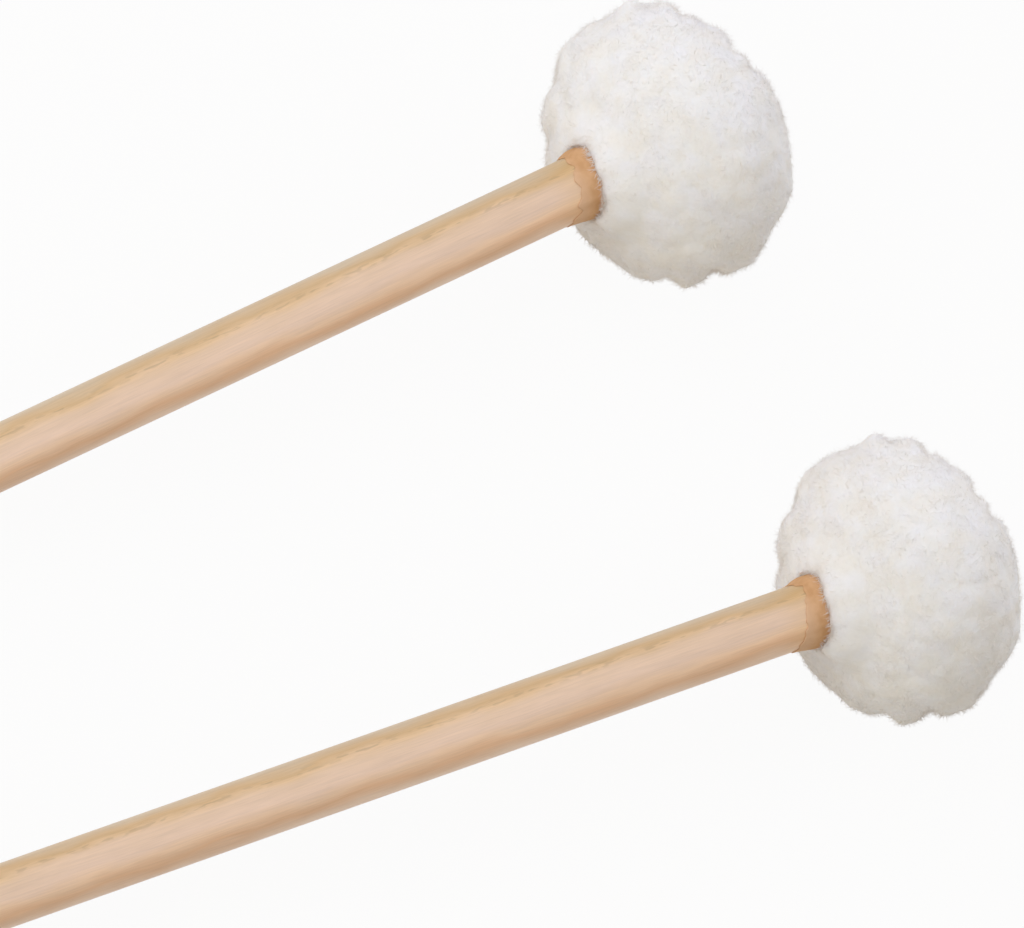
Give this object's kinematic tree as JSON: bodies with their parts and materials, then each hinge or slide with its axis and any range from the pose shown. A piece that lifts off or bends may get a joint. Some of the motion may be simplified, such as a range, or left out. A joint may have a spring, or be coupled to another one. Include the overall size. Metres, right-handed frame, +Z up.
{
  "type": "pair of timpani mallets",
  "caption": "Timpani mallets with plain round hardwood handles and slightly flattened white fleece ball heads, gathered and tied over felt-lined wooden cores.",
  "frame": {"origin": "middle of the resting pair's bounding box, at the surface the pair lies on", "axes": "+X runs from the butts to the heads, midway between the two splayed handles; +Y is the player's left; +Z is up from the surface"},
  "size_m": [0.3867, 0.1558, 0.0578],
  "materials": {
    "handle_wood": "satin",
    "core_wood": "matte",
    "plated_steel": "satin",
    "liner_felt": "matte",
    "wool_fleece": "matte",
    "waxed_cord": "satin"
  },
  "bodies": {
    "left_mallet": {"left_handle": "handle_wood", "left_head_core": "core_wood", "left_core_washer": "plated_steel", "left_core_screw": "plated_steel", "left_felt_liner": "liner_felt", "left_fleece_cover": "wool_fleece", "left_neck_cord": "waxed_cord"},
    "right_mallet": {"right_handle": "handle_wood", "right_head_core": "core_wood", "right_core_washer": "plated_steel", "right_core_screw": "plated_steel", "right_felt_liner": "liner_felt", "right_fleece_cover": "wool_fleece", "right_neck_cord": "waxed_cord"}
  },
  "joints": [
    {"name": "right_mallet_lift", "type": "slide", "parent": "left_mallet", "child": "right_mallet", "axis": [0, 0, 1], "range_m": [0, 0.2]}
  ]
}
